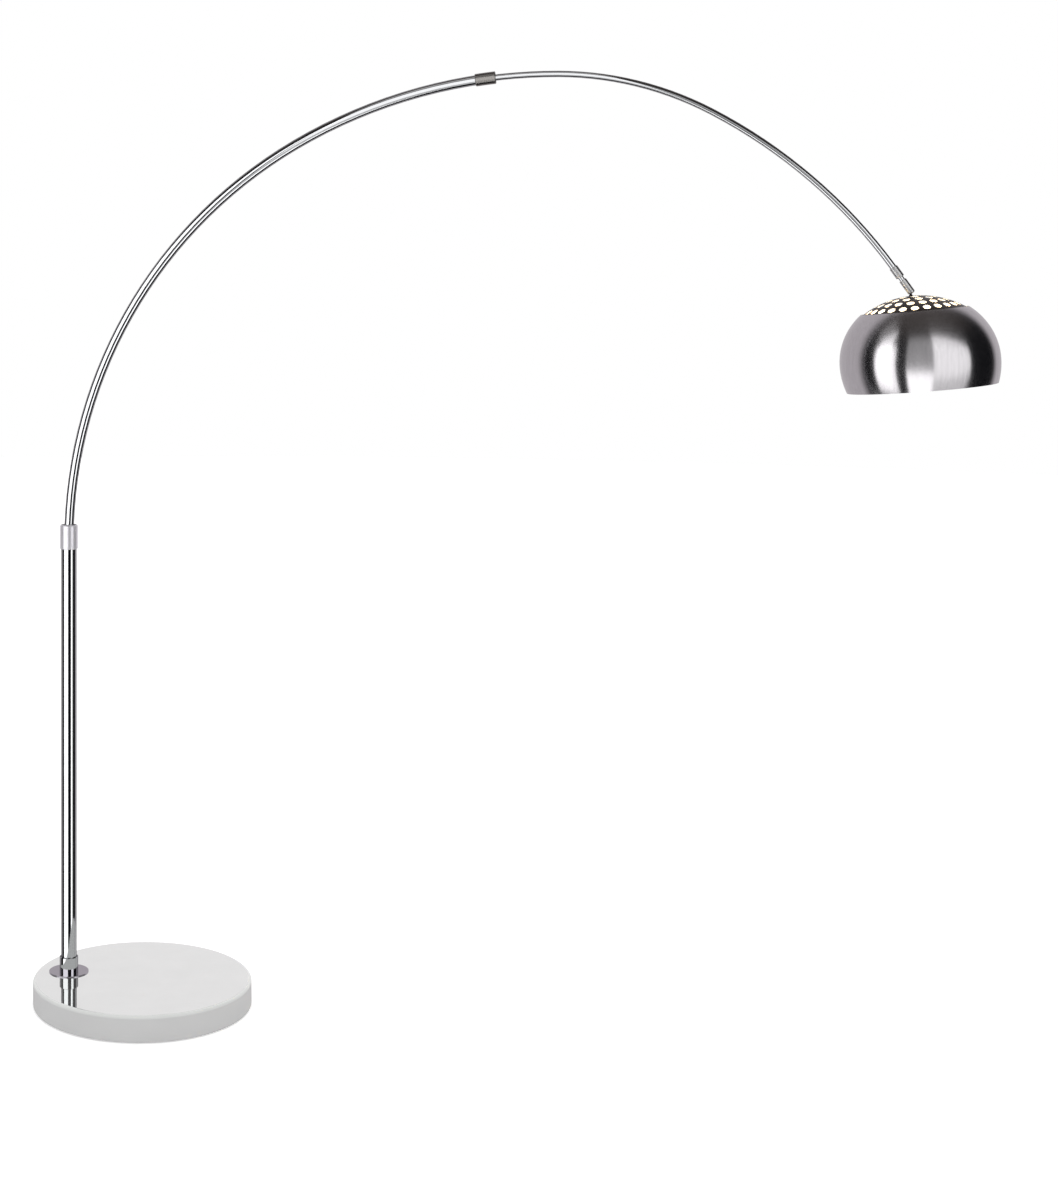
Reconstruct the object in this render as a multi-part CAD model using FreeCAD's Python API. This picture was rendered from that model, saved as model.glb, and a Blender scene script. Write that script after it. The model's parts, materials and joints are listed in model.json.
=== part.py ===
"""Arc floor lamp: a round base and upright pole, two telescoping arc tubes, a swivelling and tilting
head, and an open dome that rests on a perforated cap.

Millimetres, +Z up. The origin is the centre of the base's underside. The arc lies in the plane y = 0
and runs from the pole, on the -X side of the base, towards +X.
"""
import FreeCAD
import Part
import math
import os

V = FreeCAD.Vector
UP = V(0, 0, 1)
ACROSS = V(0, 1, 0)

# Base and the fixing under it
BASE_R = 225.0
BASE_TOP = 54.5
BASE_TOP_EDGE = 7.0
BASE_FOOT_EDGE = 3.0
PAD_R = 212.0
PAD_T = 2.0
RECESS_R = 38.0
RECESS_TOP = 30.0
COVER_R = 42.0
COVER_T = 1.5
STUD_R = 8.0
STUD_BORE_R = 4.0
STUD_FOOT = 16.0
STUD_TOP = 84.5
WASHER_R = 15.0
WASHER_T = 2.0
NUT_ACROSS_FLATS = 24.0
NUT_T = 9.0

# Cord outlet, a drilled hole from the recess to the rim, turned away from the arc
OUTLET_HEADING = 120.0
OUTLET_Z = 12.0
OUTLET_R = 4.5
GLAND_R = 7.0
GLAND_L = 14.0
GLAND_FLANGE_R = 8.0
GLAND_FLANGE_T = 3.0
GLAND_BORE_R = 3.4

# Pole
POLE_X = -157.4
POLE_R = 16.0
POLE_WALL = 1.5
POLE_TOP = 975.0
FLANGE_R = 41.0
FLANGE_T = 2.0
SOCKET_R = 19.0
SOCKET_H = 30.0
PLUG_H = 30.0
COLLAR_R = 18.5
COLLAR_FOOT = 933.0
COLLAR_TOP = 983.2
COLLAR_MOUTH_R = 11.4
COLLAR_SCREW_Z = 948.5
COLLAR_SCREW_R = 2.5
BUSH_FOOT = 883.5
BUSH_TOP = 931.5

# Arc tubes: each stretch of the centreline is (radius, degrees of turn), tangent to the one before
BEND_Z = 946.5
TAIL_FOOT = 690.0
LOWER_R = 10.0
LOWER_WALL = 1.5
FIRST_BEND = (941.0, 60.5)
SLIDE_BEND = (1012.0, 31.0)
UPPER_R = 6.25
UPPER_WALL = 1.25
CROWN_BEND = (638.0, 27.6)
DROP_BEND = (1001.0, 26.1)
TUBE_GRIP = 12.0

# Headings, in degrees above +X, of stations on the sliding bend
LOWER_END_HEADING = 6.4
ARC_COLLAR_HEADINGS = (7.75, 5.45)
ARC_BUSH_LENGTH_TURN = 2.0
ARC_SCREW_HEADING = 5.92
UPPER_TAIL_HEADING = 17.6
TAIL_GUIDE_TURN = 1.3
LOWER_WIRE_HEADING = 26.0
CROWN_HEADING = 90.0 - FIRST_BEND[1] - SLIDE_BEND[1]
ARC_COLLAR_R = 12.5
ARC_COLLAR_CHAMFER = 1.2
WIRE_R = 2.5
WIRE_TOP = 630.0

# Running clearances, on the radius
RUN = 0.05
SLIP = 0.1
GAP = 0.3

# Arm end: distances along the arm's last direction, from where the upper tube enters the ferrule
FERRULE_R = 8.0
FERRULE_END = 23.0
NECK_R = 5.0
BARREL_START = 30.0
BARREL_END = 60.0
BARREL_R = 7.0
BARREL_CHAMFER = 2.0
JOURNAL_R = 4.0
JOURNAL_END = 42.0
CHAMBER_R = 5.6
SPIGOT_NUT_R = 5.2
SPIGOT_NUT_T = 3.0
SLOT_START = 47.0
TILT_AT = 54.0
SLOT_HALF = 2.2
TONGUE_HALF = 1.9
TONGUE_EYE_R = 3.6
PIN_R = 1.5
PIN_HALF = 6.4
PASSAGE_R = 2.2

# Head: lean of the cap's and dome's axes from upright, towards -X
CAP_LEAN = 6.6
DOME_LEAN = 5.3
PIVOT_TO_CAP = 10.2
CAP_SPHERE_R = 163.0
CAP_T = 1.0
CAP_EDGE_ANGLE = 40.7
HOLE_R = 7.1
HOLE_RING_STEP = 7.55
HOLE_RINGS = 5
HOLE_PATTERN_TURN = 40.5
STEM_R = 2.5
STEM_NECK_R = 2.3
STEM_NUT_R = 3.5
STEM_NUT_T = 1.8
STEM_LENGTH = 13.0

# Dome: radii and heights from the cap's sphere centre, along the dome's own axis
DOME_T = 1.0
DOME_EQUATOR_R = 144.8
DOME_EQUATOR_Z = 36.3
DOME_UPPER_CURVE = 126.0
DOME_LOWER_CURVE = 150.0
DOME_MOUTH_R = 97.5
DOME_SKIRT = 49.5
REST_RING_ANGLES = (36.1, 37.7)
REST_RING_OUTER = 164.4

# Lampholder and bulb: depths below the cap's crown, along the cap's axis
HOLDER_R = 15.0
HOLDER_TOP = 8.0
HOLDER_SPLIT = 24.0
HOLDER_END = 56.0
SCREW_CAP_R = 13.0
SCREW_CAP_TOP = 33.0
GLOBE_R = 35.0
GLOBE_DEPTH = 98.0
GLOBE_T = 1.0


class Station:
    """A place on the arm's centreline: x, z and the heading, in degrees above +X."""

    def __init__(self, x, z, heading):
        self.x = x
        self.z = z
        self.heading = heading

    def point(self):
        """The station's place."""
        return V(self.x, 0, self.z)

    def direction(self):
        """Unit vector along the arm."""
        turn = math.radians(self.heading)
        return V(math.cos(turn), 0, math.sin(turn))

    def centre(self, radius):
        """Centre of the bend that starts here and turns downwards."""
        turn = math.radians(self.heading)
        return V(self.x + radius * math.sin(turn), 0, self.z - radius * math.cos(turn))

    def after_bend(self, radius, sweep):
        """The station after a bend."""
        middle = self.centre(radius)
        turn = math.radians(self.heading - sweep)
        x = middle.x - radius * math.sin(turn)
        z = middle.z + radius * math.cos(turn)
        return Station(x, z, self.heading - sweep)

    def ahead(self, length):
        """The station after a straight run."""
        place = self.point() + self.direction() * length
        return Station(place.x, place.z, self.heading)


def slide_station(heading):
    """A station on the bend that the two arc tubes share."""
    start = Station(POLE_X, BEND_Z, 90.0).after_bend(*FIRST_BEND)
    return start.after_bend(SLIDE_BEND[0], start.heading - heading)


def rod(radius, length, foot, direction=UP):
    """Solid cylinder."""
    return Part.makeCylinder(radius, length, foot, direction)


def sleeve(outer, inner, length, foot, direction=UP):
    """Hollow cylinder."""
    return rod(outer, length, foot, direction).cut(rod(inner, length, foot, direction))


def section(station, outer, inner=0.0):
    """Round or ring-shaped face across the arm."""
    wires = [Part.Wire(Part.Circle(station.point(), station.direction(), outer).toShape())]
    if inner:
        wires.append(Part.Wire(Part.Circle(station.point(), station.direction(), inner).toShape()))
    return Part.makeFace(wires, "Part::FaceMakerBullseye")


def straight(station, length, outer, inner=0.0):
    """Straight round bar or tube that starts at a station."""
    return section(station, outer, inner).extrude(station.direction() * length)


def bent(station, radius, sweep, outer, inner=0.0):
    """Round bar or tube bent to a radius, from a station onwards."""
    return section(station, outer, inner).revolve(station.centre(radius), ACROSS, sweep)


def joined(pieces):
    """One solid from stretches that meet end to end."""
    whole = pieces[0].fuse(pieces[1:])
    return whole.removeSplitter()


def turned(points, place=V(0, 0, 0), lean=0.0):
    """Solid turned about Z from a closed outline of (r, z) points, or (r, z, via_r, via_z) arcs.

    An entry with four numbers is an arc to (r, z) that passes through (via_r, via_z). The solid is
    then leaned towards -X and moved to its place.
    """
    edges = []
    last = points[-1]
    for entry in points:
        start = V(last[0], 0, last[1])
        end = V(entry[0], 0, entry[1])
        if len(entry) == 4:
            edges.append(Part.Arc(start, V(entry[2], 0, entry[3]), end).toShape())
        elif start.distanceToPoint(end) > 1e-9:
            edges.append(Part.LineSegment(start, end).toShape())
        last = entry
    face = Part.Face(Part.Wire(edges))
    solid = face.revolve(V(0, 0, 0), UP, 360)
    solid.rotate(V(0, 0, 0), ACROSS, -lean)
    solid.translate(place)
    return solid


def hexagon(across_flats, height, foot, direction=UP):
    """Hexagonal prism."""
    radius = across_flats / math.sqrt(3)
    corners = [V(radius * math.cos(math.radians(60 * k)), radius * math.sin(math.radians(60 * k)), 0)
               for k in range(7)]
    prism = Part.Face(Part.makePolygon(corners)).extrude(V(0, 0, height))
    prism.Placement = FreeCAD.Placement(foot, FreeCAD.Rotation(UP, direction))
    return prism


def pole_at(z):
    """Point on the pole's axis."""
    return V(POLE_X, 0, z)


def outlet_direction():
    """Horizontal direction of the cord outlet, from the pole."""
    turn = math.radians(OUTLET_HEADING)
    return V(math.cos(turn), math.sin(turn), 0)


def outlet_rim():
    """Point where the outlet's axis leaves the base's rim."""
    along = outlet_direction()
    foot = pole_at(OUTLET_Z)
    across = foot.x * along.x
    reach = math.sqrt(BASE_R ** 2 - foot.x ** 2 + across ** 2) - across
    return foot + along * reach


def edges_at(solid, radius, z):
    """Circular edges of a radius at a height."""
    found = []
    for edge in solid.Edges:
        curve = edge.Curve
        if not isinstance(curve, Part.Circle):
            continue
        if abs(curve.Radius - radius) < 0.01 and abs(curve.Center.z - z) < 0.01:
            found.append(edge)
    return found


def base_disc():
    """Base with its recess, stud hole and cord outlet."""
    disc = rod(BASE_R, BASE_TOP - PAD_T, V(0, 0, PAD_T))
    disc = disc.makeFillet(BASE_TOP_EDGE, edges_at(disc, BASE_R, BASE_TOP))
    disc = disc.makeFillet(BASE_FOOT_EDGE, edges_at(disc, BASE_R, PAD_T))
    along = outlet_direction()
    rim = outlet_rim()
    cuts = [rod(RECESS_R, RECESS_TOP - PAD_T, pole_at(PAD_T)),
            rod(COVER_R, COVER_T, pole_at(PAD_T)),
            rod(STUD_R + GAP, BASE_TOP, pole_at(PAD_T)),
            rod(OUTLET_R, rim.distanceToPoint(pole_at(OUTLET_Z)), pole_at(OUTLET_Z), along),
            rod(GLAND_R, GLAND_L + 10, rim - along * GLAND_L, along),
            rod(GLAND_FLANGE_R + GAP, 10, rim, along)]
    return disc.cut(cuts)


def base_pad():
    """Felt pad that the lamp stands on."""
    return rod(PAD_R, PAD_T, V(0, 0, 0))


def base_cover():
    """Steel plate over the recess."""
    return rod(COVER_R - SLIP, COVER_T, pole_at(PAD_T))


def pole_stud():
    """Hollow stud that pulls the pole onto the base."""
    return sleeve(STUD_R, STUD_BORE_R, STUD_TOP - STUD_FOOT, pole_at(STUD_FOOT))


def base_washer():
    """Washer against the recess's roof."""
    return sleeve(WASHER_R, STUD_R, WASHER_T, pole_at(RECESS_TOP - WASHER_T))


def base_nut():
    """Nut under the washer."""
    foot = pole_at(RECESS_TOP - WASHER_T - NUT_T)
    return hexagon(NUT_ACROSS_FLATS, NUT_T, foot).cut(rod(STUD_R, NUT_T, foot))


def terminal_block():
    """Two-way terminal block on the cover plate."""
    foot_z = PAD_T + COVER_T
    block = Part.makeBox(20, 14, 12, V(POLE_X - 10, 18, foot_z))
    for side in (-5, 5):
        block = block.cut(rod(2.0, 8, V(POLE_X + side, 25, foot_z + 4)))
    return block


def cord_gland():
    """Rubber gland in the cord outlet."""
    along = outlet_direction()
    rim = outlet_rim()
    body = rod(GLAND_R, GLAND_L, rim - along * GLAND_L, along)
    flange = rod(GLAND_FLANGE_R, GLAND_FLANGE_T, rim, along)
    bore = rod(GLAND_BORE_R, GLAND_L + GLAND_FLANGE_T, rim - along * GLAND_L, along)
    return body.fuse(flange).cut(bore)


def pole_wire():
    """The lamp's wire from the terminal block into the pole."""
    turn_r = 8.0
    corner = Part.Wire(Part.Circle(pole_at(STUD_FOOT), UP, WIRE_R).toShape())
    turn = Part.Face(corner).revolve(V(POLE_X, turn_r, STUD_FOOT), V(1, 0, 0), 90)
    rise = rod(WIRE_R, WIRE_TOP - STUD_FOOT, pole_at(STUD_FOOT))
    run = rod(WIRE_R, 10, V(POLE_X, turn_r, STUD_FOOT - turn_r), V(0, 1, 0))
    return joined([rise, turn, run])


def pole_flange():
    """Thin disc between the pole and the base."""
    disc = sleeve(FLANGE_R, STUD_R + GAP, FLANGE_T, pole_at(BASE_TOP))
    return disc.makeFillet(0.8, edges_at(disc, FLANGE_R, BASE_TOP + FLANGE_T))


def pole_socket():
    """Cup around the pole's foot."""
    foot = pole_at(BASE_TOP + FLANGE_T)
    cup = sleeve(SOCKET_R, POLE_R, SOCKET_H, foot)
    return cup.makeChamfer(0.8, edges_at(cup, SOCKET_R, foot.z + SOCKET_H))


def pole_foot_plug():
    """Threaded plug fixed in the pole's foot."""
    return sleeve(POLE_R - POLE_WALL, STUD_R, PLUG_H, pole_at(BASE_TOP + FLANGE_T))


def pole_tube():
    """Upright tube, drilled for the collar's screw."""
    foot = BASE_TOP + FLANGE_T
    tube = sleeve(POLE_R, POLE_R - POLE_WALL, POLE_TOP - foot, pole_at(foot))
    return tube.cut(collar_screw_hole())


def collar_screw_hole():
    """Bar that cuts the pole collar's screw hole, on the +Y side."""
    return rod(COLLAR_SCREW_R, COLLAR_R + 2, pole_at(COLLAR_SCREW_Z), V(0, 1, 0))


def pole_collar():
    """Collar over the pole's top, stepping in towards the arc."""
    sleeve_part = sleeve(COLLAR_R, POLE_R, POLE_TOP - COLLAR_FOOT, pole_at(COLLAR_FOOT))
    lip = sleeve(COLLAR_R, COLLAR_MOUTH_R, COLLAR_TOP - POLE_TOP, pole_at(POLE_TOP))
    collar = joined([sleeve_part, lip])
    collar = collar.makeChamfer(2.2, edges_at(collar, COLLAR_R, COLLAR_TOP))
    collar = collar.makeChamfer(0.6, edges_at(collar, COLLAR_R, COLLAR_FOOT))
    return collar.cut(collar_screw_hole())


def pole_guide_bush():
    """Nylon bush in the pole's top that the arc's tail turns and slides in."""
    return sleeve(POLE_R - POLE_WALL, LOWER_R + RUN, BUSH_TOP - BUSH_FOOT, pole_at(BUSH_FOOT))


def pole_collar_screw():
    """Grub screw that locks the arc's tail."""
    length = COLLAR_R - LOWER_R - 2 * GAP
    screw = rod(COLLAR_SCREW_R, length, V(POLE_X, LOWER_R + GAP, COLLAR_SCREW_Z), V(0, 1, 0))
    key = hexagon(2.5, 3, V(POLE_X, COLLAR_R - GAP - 3, COLLAR_SCREW_Z), V(0, 1, 0))
    return screw.cut(key)


def mast_guide():
    """Nylon slider at the foot of the tail: it slides in the pole and the tail turns in it."""
    return sleeve(POLE_R - POLE_WALL - SLIP, LOWER_R + RUN, 25, pole_at(TAIL_FOOT + 3))


def tail_snap_rings():
    """Two snap rings on the tail, above and below the slider."""
    rings = []
    for z in (TAIL_FOOT + 3 - GAP - 1.2, TAIL_FOOT + 3 + 25 + GAP):
        rings.append(sleeve(12.5, LOWER_R, 1.2, pole_at(z)))
    return Part.makeCompound(rings)


def lower_arc_tube():
    """First arc tube: a straight tail in the pole, then two bends."""
    inner = LOWER_R - LOWER_WALL
    foot = Station(POLE_X, TAIL_FOOT, 90.0)
    bend = Station(POLE_X, BEND_Z, 90.0)
    second = bend.after_bend(*FIRST_BEND)
    return joined([straight(foot, BEND_Z - TAIL_FOOT, LOWER_R, inner),
                   bent(bend, FIRST_BEND[0], FIRST_BEND[1], LOWER_R, inner),
                   bent(second, SLIDE_BEND[0], second.heading - LOWER_END_HEADING, LOWER_R, inner)])


def lower_arc_wire():
    """The wire's stretch in the first arc tube."""
    foot = Station(POLE_X, TAIL_FOOT, 90.0)
    bend = Station(POLE_X, BEND_Z, 90.0)
    second = bend.after_bend(*FIRST_BEND)
    return joined([straight(foot, BEND_Z - TAIL_FOOT, WIRE_R),
                   bent(bend, FIRST_BEND[0], FIRST_BEND[1], WIRE_R),
                   bent(second, SLIDE_BEND[0], second.heading - LOWER_WIRE_HEADING, WIRE_R)])


def arc_screw_hole(inner, outer):
    """Bar across the arc collar's lip, on the +Y side."""
    place = slide_station(ARC_SCREW_HEADING).point() + V(0, inner, 0)
    return rod(2.0, outer - inner, place, V(0, 1, 0))


def arc_collar():
    """Collar at the mouth of the first arc tube, bent to the same centre."""
    first, last = ARC_COLLAR_HEADINGS
    radius = SLIDE_BEND[0]
    over_tube = bent(slide_station(first), radius, first - LOWER_END_HEADING, ARC_COLLAR_R, LOWER_R)
    lip = bent(slide_station(LOWER_END_HEADING), radius, LOWER_END_HEADING - last,
               ARC_COLLAR_R, UPPER_R + 2 * SLIP)
    collar = joined([over_tube, lip])
    collar = chamfer_ends(collar, ARC_COLLAR_R, ARC_COLLAR_CHAMFER)
    return collar.cut(arc_screw_hole(0, ARC_COLLAR_R + 2))


def arc_guide_bush():
    """Nylon bush in the first arc tube's mouth, which the second slides through."""
    first = LOWER_END_HEADING + ARC_BUSH_LENGTH_TURN
    return bent(slide_station(first), SLIDE_BEND[0], ARC_BUSH_LENGTH_TURN,
                LOWER_R - LOWER_WALL, UPPER_R + RUN)


def arc_collar_screw():
    """Grub screw that locks the second arc tube."""
    return arc_screw_hole(UPPER_R + GAP, ARC_COLLAR_R - 2 * GAP)


def arm_end():
    """Station where the second arc tube enters the ferrule."""
    crown = slide_station(CROWN_HEADING)
    return crown.after_bend(*CROWN_BEND).after_bend(*DROP_BEND)


def upper_stretch(outer, inner, reach):
    """Bar or tube along the whole second arc tube, plus a straight reach into the ferrule."""
    tail = slide_station(UPPER_TAIL_HEADING)
    crown = slide_station(CROWN_HEADING)
    drop = crown.after_bend(*CROWN_BEND)
    return joined([bent(tail, SLIDE_BEND[0], tail.heading - crown.heading, outer, inner),
                   bent(crown, CROWN_BEND[0], CROWN_BEND[1], outer, inner),
                   bent(drop, DROP_BEND[0], DROP_BEND[1], outer, inner),
                   straight(arm_end(), reach, outer, inner)])


def upper_arc_tube():
    """Second arc tube: it slides in the first about their common centre."""
    return upper_stretch(UPPER_R, UPPER_R - UPPER_WALL, TUBE_GRIP)


def upper_arc_wire():
    """The wire's stretch in the second arc tube."""
    return upper_stretch(WIRE_R, 0.0, TUBE_GRIP - 1)


def arc_tail_guide():
    """Nylon guide on the second tube's inner end."""
    return bent(slide_station(UPPER_TAIL_HEADING), SLIDE_BEND[0], TAIL_GUIDE_TURN,
                LOWER_R - LOWER_WALL - SLIP, UPPER_R)


def arm_end_ferrule():
    """Sleeve on the arm's end, tapped for the neck."""
    end = arm_end()
    body = straight(end, FERRULE_END, FERRULE_R)
    body = body.cut(straight(end, TUBE_GRIP, UPPER_R))
    body = body.cut(straight(end.ahead(TUBE_GRIP), FERRULE_END - TUBE_GRIP, JOURNAL_R))
    return chamfer_ends(body, FERRULE_R, 0.7)


def chamfer_ends(body, radius, size):
    """Chamfer every circular edge of a radius."""
    ends = []
    for edge in body.Edges:
        if isinstance(edge.Curve, Part.Circle) and abs(edge.Curve.Radius - radius) < 0.01:
            ends.append(edge)
    return body.makeChamfer(size, ends)


def neck_spigot():
    """Neck between ferrule and barrel, with the journal that the barrel turns on."""
    end = arm_end()
    root = straight(end.ahead(TUBE_GRIP + 1), FERRULE_END - TUBE_GRIP - 1, JOURNAL_R)
    neck = straight(end.ahead(FERRULE_END), BARREL_START - GAP - FERRULE_END, NECK_R)
    journal = straight(end.ahead(BARREL_START - GAP), JOURNAL_END + GAP - BARREL_START + SPIGOT_NUT_T + GAP,
                       JOURNAL_R)
    bore = straight(end.ahead(TUBE_GRIP), 40, PASSAGE_R)
    return joined([root, neck, journal]).cut(bore)


def spigot_nut():
    """Lock nut on the journal's end, in the barrel's chamber."""
    return straight(arm_end().ahead(JOURNAL_END + GAP), SPIGOT_NUT_T, SPIGOT_NUT_R, JOURNAL_R)


def swivel_barrel():
    """Barrel that turns on the neck and carries the tilt pin in its slotted end."""
    end = arm_end()
    barrel = straight(end.ahead(BARREL_START), BARREL_END - BARREL_START, BARREL_R)
    foot = end.ahead(BARREL_END).point()
    rims = [edge for edge in barrel.Edges
            if isinstance(edge.Curve, Part.Circle) and edge.Curve.Center.distanceToPoint(foot) < 0.01]
    barrel = barrel.makeChamfer(BARREL_CHAMFER, rims)
    barrel = barrel.cut(straight(end.ahead(BARREL_START), JOURNAL_END - BARREL_START, JOURNAL_R + RUN))
    barrel = barrel.cut(straight(end.ahead(JOURNAL_END), SLOT_START - JOURNAL_END + 1, CHAMBER_R))
    pin_hole = rod(PIN_R, 2 * BARREL_R, tilt_point() - V(0, BARREL_R, 0), ACROSS)
    return barrel.cut([barrel_slot(end), pin_hole])


def barrel_slot(end):
    """Slot across the barrel's end for the head's tongue."""
    corner = end.ahead(SLOT_START)
    along = corner.direction()
    side = V(-along.z, 0, along.x)
    half = side * (BARREL_R + 1)
    length = along * (BARREL_END - SLOT_START + 1)
    low = corner.point() - V(0, SLOT_HALF, 0)
    outline = Part.makePolygon([low - half, low + half, low + half + length, low - half + length, low - half])
    return Part.Face(outline).extrude(V(0, 2 * SLOT_HALF, 0))


def tilt_point():
    """Centre of the tilt pin."""
    return arm_end().ahead(TILT_AT).point()


def tilt_pin():
    """Cross pin of the tilt joint."""
    return rod(PIN_R, 2 * PIN_HALF, tilt_point() - V(0, PIN_HALF, 0), ACROSS)


def head_axis():
    """Unit vector up the cap's axis."""
    lean = math.radians(CAP_LEAN)
    return V(-math.sin(lean), 0, math.cos(lean))


def crown():
    """Top of the cap, on its axis."""
    return tilt_point() - head_axis() * PIVOT_TO_CAP


def sphere_centre():
    """Centre of the cap's sphere, about which the dome tilts."""
    return crown() - head_axis() * CAP_SPHERE_R


def below_crown(depth):
    """Point on the cap's axis, a depth below its crown."""
    return crown() - head_axis() * depth


def head_stem():
    """Tongue with the pin's eye, and the threaded stem under it."""
    down = head_axis() * -1
    eye = rod(TONGUE_EYE_R, 2 * TONGUE_HALF, tilt_point() - V(0, TONGUE_HALF, 0), ACROSS)
    blade = rod(STEM_NECK_R, PIVOT_TO_CAP, tilt_point(), down)
    slab = Part.makeBox(20, 2 * TONGUE_HALF, 20, tilt_point() - V(10, TONGUE_HALF, 10))
    blade = blade.common(slab)
    thread = rod(STEM_R, STEM_LENGTH, below_crown(-STEM_NUT_T), down)
    stem = eye.fuse([blade, thread]).removeSplitter()
    return stem.cut(rod(PIN_R + RUN, 2 * BARREL_R, tilt_point() - V(0, BARREL_R, 0), ACROSS))


def stem_nut():
    """Round nut on top of the cap."""
    return cut_to_cap(sleeve(STEM_NUT_R, STEM_R, STEM_NUT_T + 1, below_crown(0.5), head_axis()))


def cut_to_cap(piece):
    """Trim a piece so that it sits on the cap's outside."""
    trimmed = piece.cut(Part.makeSphere(CAP_SPHERE_R, sphere_centre()))
    top = below_crown(-STEM_NUT_T)
    return trimmed.cut(rod(20, 5, top, head_axis()))


def on_sphere(radius, angle):
    """(r, z) on a sphere about the origin, at an angle from +Z."""
    turn = math.radians(angle)
    return (radius * math.sin(turn), radius * math.cos(turn))


def vent_cap():
    """Perforated cap: a spherical sheet with rings of round holes, six more holes in each ring."""
    outer = CAP_SPHERE_R
    inner = CAP_SPHERE_R - CAP_T
    hub = STEM_R + SLIP
    start = (hub, math.sqrt(outer ** 2 - hub ** 2))
    under = (hub, math.sqrt(inner ** 2 - hub ** 2))
    rim = on_sphere(outer, CAP_EDGE_ANGLE)
    rim_under = on_sphere(inner, CAP_EDGE_ANGLE)
    middle = on_sphere(outer, CAP_EDGE_ANGLE / 2)
    middle_under = on_sphere(inner, CAP_EDGE_ANGLE / 2)
    sheet = turned([start, rim + middle, rim_under, under + middle_under])
    holes = []
    for ring in range(1, HOLE_RINGS + 1):
        for step in range(6 * ring):
            hole = rod(HOLE_R, 8, V(0, 0, inner - 4))
            hole.rotate(V(0, 0, 0), ACROSS, HOLE_RING_STEP * ring)
            hole.rotate(V(0, 0, 0), UP, HOLE_PATTERN_TURN + 60.0 / ring * step)
            holes.append(hole)
    sheet = sheet.cut(holes)
    sheet.rotate(V(0, 0, 0), ACROSS, -CAP_LEAN)
    sheet.translate(sphere_centre())
    return sheet


def dome_arc(radius, curve, centre_z, z):
    """Dome radius at a height, on an arc that passes through the equator's radius."""
    middle = radius - curve
    return middle + math.sqrt(curve ** 2 - (z - centre_z) ** 2)


def dome_shade():
    """Dome: two tangent curves that meet upright at the equator, open at both ends."""
    equator = DOME_EQUATOR_R
    z = DOME_EQUATOR_Z
    thin = DOME_T
    mouth_z = z + math.sqrt(DOME_UPPER_CURVE ** 2 - (DOME_MOUTH_R - equator + DOME_UPPER_CURVE) ** 2)
    rim_z = z - DOME_SKIRT
    mouth = (DOME_MOUTH_R, mouth_z)
    upper_mid_z = z + 0.6 * (mouth_z - z)
    rim = (dome_arc(equator, DOME_LOWER_CURVE, z, rim_z), rim_z)
    points = [mouth,
              (equator, z, dome_arc(equator, DOME_UPPER_CURVE, z, upper_mid_z), upper_mid_z),
              rim + (dome_arc(equator, DOME_LOWER_CURVE, z, z - DOME_SKIRT / 2), z - DOME_SKIRT / 2),
              (dome_arc(equator - thin, DOME_LOWER_CURVE - thin, z, rim_z), rim_z),
              (equator - thin, z,
               dome_arc(equator - thin, DOME_LOWER_CURVE - thin, z, z - DOME_SKIRT / 2), z - DOME_SKIRT / 2)]
    inner_mouth_z = mouth_z - 0.8
    inner = (dome_arc(equator - thin, DOME_UPPER_CURVE - thin, z, inner_mouth_z), inner_mouth_z)
    points.append(inner + (dome_arc(equator - thin, DOME_UPPER_CURVE - thin, z, upper_mid_z), upper_mid_z))
    return turned(points, sphere_centre(), DOME_LEAN)


def dome_rest_ring():
    """Soft ring inside the dome's opening, a shade larger than the cap's sphere."""
    first, last = REST_RING_ANGLES
    middle = (first + last) / 2
    inner = CAP_SPHERE_R + GAP
    points = [on_sphere(REST_RING_OUTER, first),
              on_sphere(REST_RING_OUTER, last) + on_sphere(REST_RING_OUTER, middle),
              on_sphere(inner, last),
              on_sphere(inner, first) + on_sphere(inner, middle)]
    return turned(points, sphere_centre(), DOME_LEAN)


def cap_washer():
    """Washer under the cap."""
    return sleeve(9.0, STEM_R, 1.0, below_crown(CAP_T + 1.25), head_axis())


def cap_nut():
    """Nut under the washer."""
    foot = below_crown(CAP_T + 1.25 + 3.5)
    return hexagon(8.0, 3.5, foot, head_axis()).cut(rod(STEM_R, 3.5, foot, head_axis()))


def holder_solid(outline):
    """Solid turned about the cap's axis from an outline of (r, depth below the crown)."""
    return turned([(r, -depth) for r, depth in outline], crown(), CAP_LEAN)


def lampholder_cap():
    """Upper cup of the lampholder, screwed on the stem."""
    return holder_solid([(STEM_R, HOLDER_TOP), (HOLDER_R - 3, HOLDER_TOP), (HOLDER_R, HOLDER_TOP + 3),
                         (HOLDER_R, HOLDER_SPLIT), (HOLDER_R - 2, HOLDER_SPLIT),
                         (HOLDER_R - 2, HOLDER_TOP + 3), (STEM_R, HOLDER_TOP + 3)])


def lampholder_shell():
    """Lower skirt of the lampholder, round the bulb's screw cap."""
    wide = HOLDER_R + 2
    return holder_solid([(SCREW_CAP_R + SLIP, HOLDER_SPLIT), (HOLDER_R, HOLDER_SPLIT),
                         (HOLDER_R, HOLDER_END - 6), (wide, HOLDER_END - 5), (wide, HOLDER_END - 1),
                         (HOLDER_R, HOLDER_END), (SCREW_CAP_R + SLIP, HOLDER_END)])


def lampholder_core():
    """Ceramic core that carries the contacts."""
    return holder_solid([(0, 15), (HOLDER_R - 2.2, 15), (HOLDER_R - 2.2, 30), (0, 30)])


def lampholder_contact():
    """Centre contact."""
    return holder_solid([(0, 30), (4, 30), (4, 32), (2.5, SCREW_CAP_TOP), (0, SCREW_CAP_TOP)])


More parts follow.
